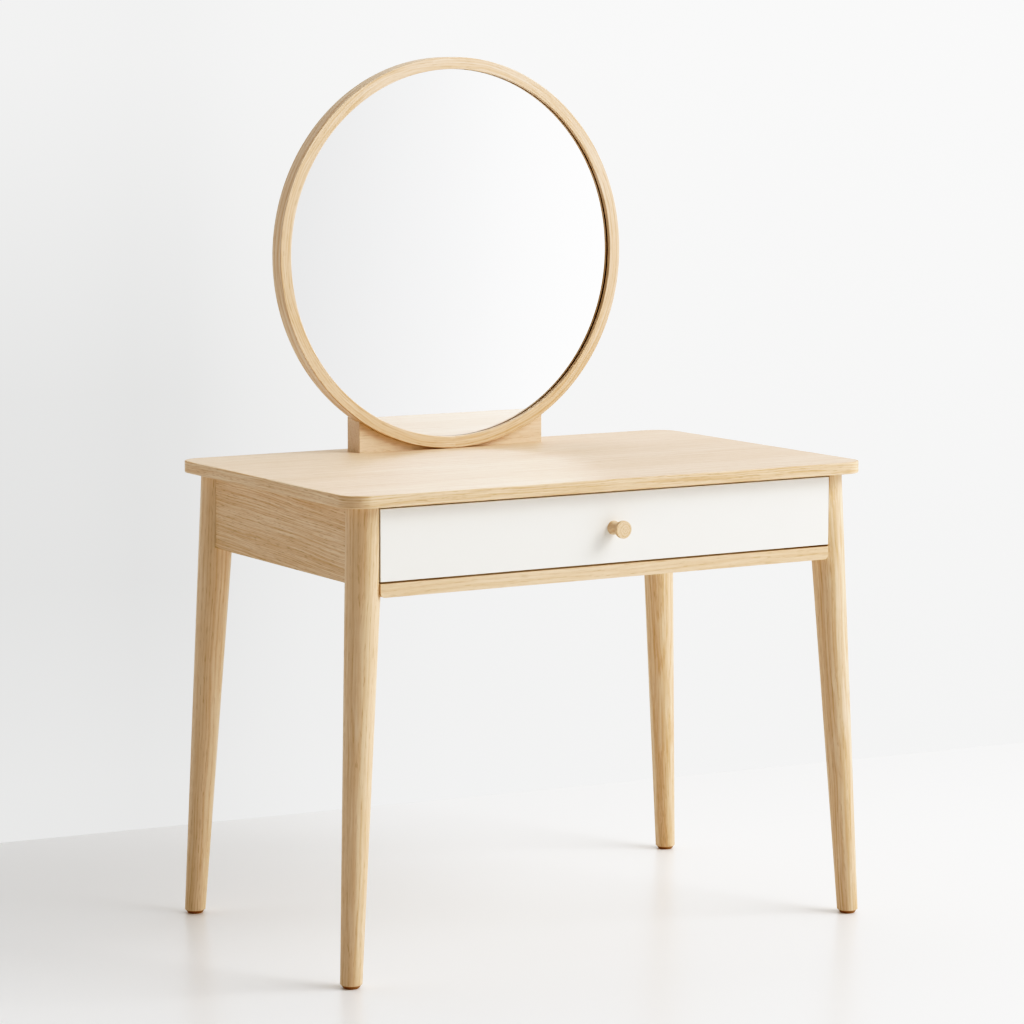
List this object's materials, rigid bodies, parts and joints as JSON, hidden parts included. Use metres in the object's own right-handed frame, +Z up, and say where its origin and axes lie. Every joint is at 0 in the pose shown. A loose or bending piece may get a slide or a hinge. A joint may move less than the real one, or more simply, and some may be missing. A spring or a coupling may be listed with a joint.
{
  "type": "salon styling station",
  "caption": "Pale oak dressing-table styling station: rounded top, splayed turned legs, white drawer with a turned knob on telescopic runners, and a round framed mirror on a plinth.",
  "frame": {"origin": "on the floor under the middle of the tabletop", "axes": "+X to the sitter's right along the top, +Y from the sitter towards the mirror, +Z up"},
  "size_m": [0.9606, 0.61, 1.4002],
  "materials": {
    "oak_top": "clear matt lacquer over pale oak veneer, grain along the length",
    "oak_frame": "clear matt lacquer over pale oak",
    "oak_legs": "clear matt lacquer over turned solid pale oak",
    "oak_ring": "clear matt lacquer over bent laminated oak",
    "white_lacquer": "smooth satin off-white lacquer on fibreboard",
    "mirror_glass": "silvered float glass",
    "backing_board": "bare brown hardboard",
    "birch_plywood": "sanded and sealed birch plywood",
    "beech": "bare planed beech",
    "zinc_steel": "bright zinc plated steel",
    "floor_glides": "moulded brown nylon"
  },
  "bodies": {
    "table": {"tabletop": "oak_top", "front_rail": "oak_frame", "front_stretcher": "oak_frame", "side_apron_left": "oak_frame", "side_apron_right": "oak_frame", "back_apron": "oak_frame", "leg_front_left": "oak_legs", "leg_front_right": "oak_legs", "leg_back_left": "oak_legs", "leg_back_right": "oak_legs", "glide_front_left": "floor_glides", "glide_front_right": "floor_glides", "glide_back_left": "floor_glides", "glide_back_right": "floor_glides", "joint_dowels": "beech", "corner_block_left": "beech", "corner_block_right": "beech", "leg_bolts": "zinc_steel", "leg_nuts": "zinc_steel", "top_brackets": "zinc_steel", "bracket_screws": "zinc_steel", "stretcher_screws": "zinc_steel", "runner_batten_left": "beech", "runner_batten_right": "beech", "runner_outer_left": "zinc_steel", "runner_outer_right": "zinc_steel", "batten_screws": "zinc_steel", "runner_screws": "zinc_steel", "plinth_screws": "zinc_steel", "mirror_screws": "zinc_steel", "mirror_frame": "oak_ring", "mirror_glass": "mirror_glass", "mirror_backing": "backing_board", "mirror_clips": "zinc_steel", "mirror_clip_screws": "zinc_steel", "mirror_plinth": "oak_frame"},
    "drawer": {"drawer_front": "white_lacquer", "drawer_bottom": "birch_plywood", "drawer_side_left": "birch_plywood", "drawer_side_right": "birch_plywood", "drawer_box_front": "birch_plywood", "drawer_box_back": "birch_plywood", "runner_inner_left": "zinc_steel", "runner_inner_right": "zinc_steel", "drawer_runner_screws": "zinc_steel", "drawer_front_screws": "zinc_steel", "drawer_box_screws": "zinc_steel", "knob": "oak_frame", "knob_screw": "zinc_steel"},
    "runner_middle_left": {"runner_middle_left": "zinc_steel"},
    "runner_middle_right": {"runner_middle_right": "zinc_steel"}
  },
  "joints": [
    {"name": "drawer_slide", "type": "slide", "parent": "table", "child": "drawer", "axis": [0, -1, 0], "range_m": [0, 0.38]},
    {"name": "runner_slide_left", "type": "slide", "parent": "table", "child": "runner_middle_left", "axis": [0, -1, 0], "range_m": [0, 0.19]},
    {"name": "runner_slide_right", "type": "slide", "parent": "table", "child": "runner_middle_right", "axis": [0, -1, 0], "range_m": [0, 0.19]}
  ],
  "couplings": [
    {"joint": "runner_slide_left", "follows": "drawer_slide", "ratio": 0.5},
    {"joint": "runner_slide_right", "follows": "drawer_slide", "ratio": 0.5}
  ]
}
